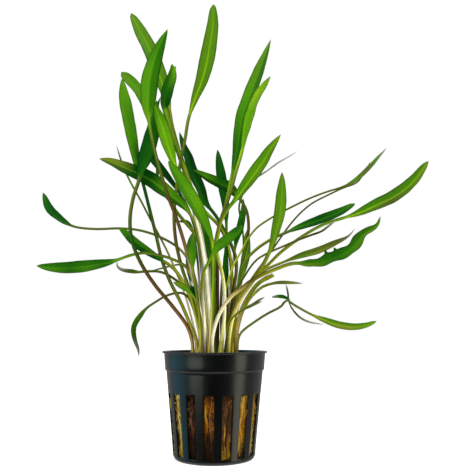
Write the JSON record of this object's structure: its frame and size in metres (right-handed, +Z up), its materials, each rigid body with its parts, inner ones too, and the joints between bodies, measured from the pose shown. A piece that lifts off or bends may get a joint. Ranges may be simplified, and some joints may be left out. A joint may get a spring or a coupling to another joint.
{
  "type": "potted cryptocoryne",
  "caption": "Rosette of narrow lance-shaped aquarium plant leaves on long stalks, rooted in a rock wool plug inside a tapered, slotted plastic net pot.",
  "frame": {"origin": "centre of the underside of the pot's foot", "axes": "+Z up along the pot's axis, -Y the side that the picture is taken from, +X to its right"},
  "size_m": [0.2087, 0.1, 0.2544],
  "materials": {
    "black_plastic": "moulded black polypropylene, satin gloss",
    "rock_wool": "wet fibrous rock wool stained brown, with roots on it",
    "crown_skin": "brown rhizome and pale stalk bases, damp",
    "leaf_bright": "fresh green leaf, waxy satin",
    "leaf_mid": "green leaf, waxy satin",
    "leaf_dark": "dark green leaf, waxy satin",
    "leaf_olive": "olive leaf, waxy satin",
    "leaf_dry": "withered grey-green leaf, papery"
  },
  "bodies": {
    "root": {"net_pot": "black_plastic", "rockwool_plug": "rock_wool", "crown": "crown_skin", "leaf_tall_centre": "leaf_mid", "leaf_tall_left_back": "leaf_olive", "leaf_big_front_left": "leaf_mid", "leaf_left_behind": "leaf_olive", "leaf_short_blunt": "leaf_dark", "leaf_inner_light": "leaf_bright", "leaf_bright_front": "leaf_bright", "leaf_dark_middle": "leaf_dark", "leaf_curled_left": "leaf_mid", "leaf_small_dark_upright": "leaf_dark", "leaf_tall_right": "leaf_bright", "leaf_right_folded": "leaf_bright", "leaf_right_diagonal": "leaf_mid", "leaf_short_right_upright": "leaf_bright", "leaf_long_right": "leaf_mid", "leaf_dark_right": "leaf_dark", "leaf_thread_right_long": "leaf_dark", "leaf_thread_right_back": "leaf_dark", "leaf_thread_top_right": "leaf_dark", "leaf_thread_right_middle": "leaf_dark", "leaf_narrow_right": "leaf_mid", "leaf_wavy_right": "leaf_bright", "leaf_cut_stalk_right": "leaf_olive", "leaf_thin_right": "leaf_dark", "leaf_short_split_tip": "leaf_dark", "leaf_low_right": "leaf_olive", "leaf_drooping_left": "leaf_olive", "leaf_long_left": "leaf_mid", "leaf_upper_left_small": "leaf_mid", "leaf_left_middle": "leaf_dark", "leaf_broad_left": "leaf_mid", "leaf_left_upright": "leaf_mid", "leaf_thin_left_upright": "leaf_olive", "leaf_dark_left_upright": "leaf_dark", "leaf_hidden_dark": "leaf_dark", "leaf_folded_right_inner": "leaf_bright", "leaf_dark_inner_right": "leaf_dark", "leaf_small_left_inner": "leaf_mid", "leaf_thin_inner_left": "leaf_dark", "leaf_short_young_dark": "leaf_dark", "leaf_small_dark_left": "leaf_dark", "leaf_short_bright_left": "leaf_bright", "leaf_curled_old": "leaf_dry", "leaf_thin_strand_left": "leaf_olive", "leaf_inner_dark": "leaf_dark", "leaf_centre_dark": "leaf_dark", "leaf_narrow_inner_right": "leaf_dark"}
  },
  "joints": []
}
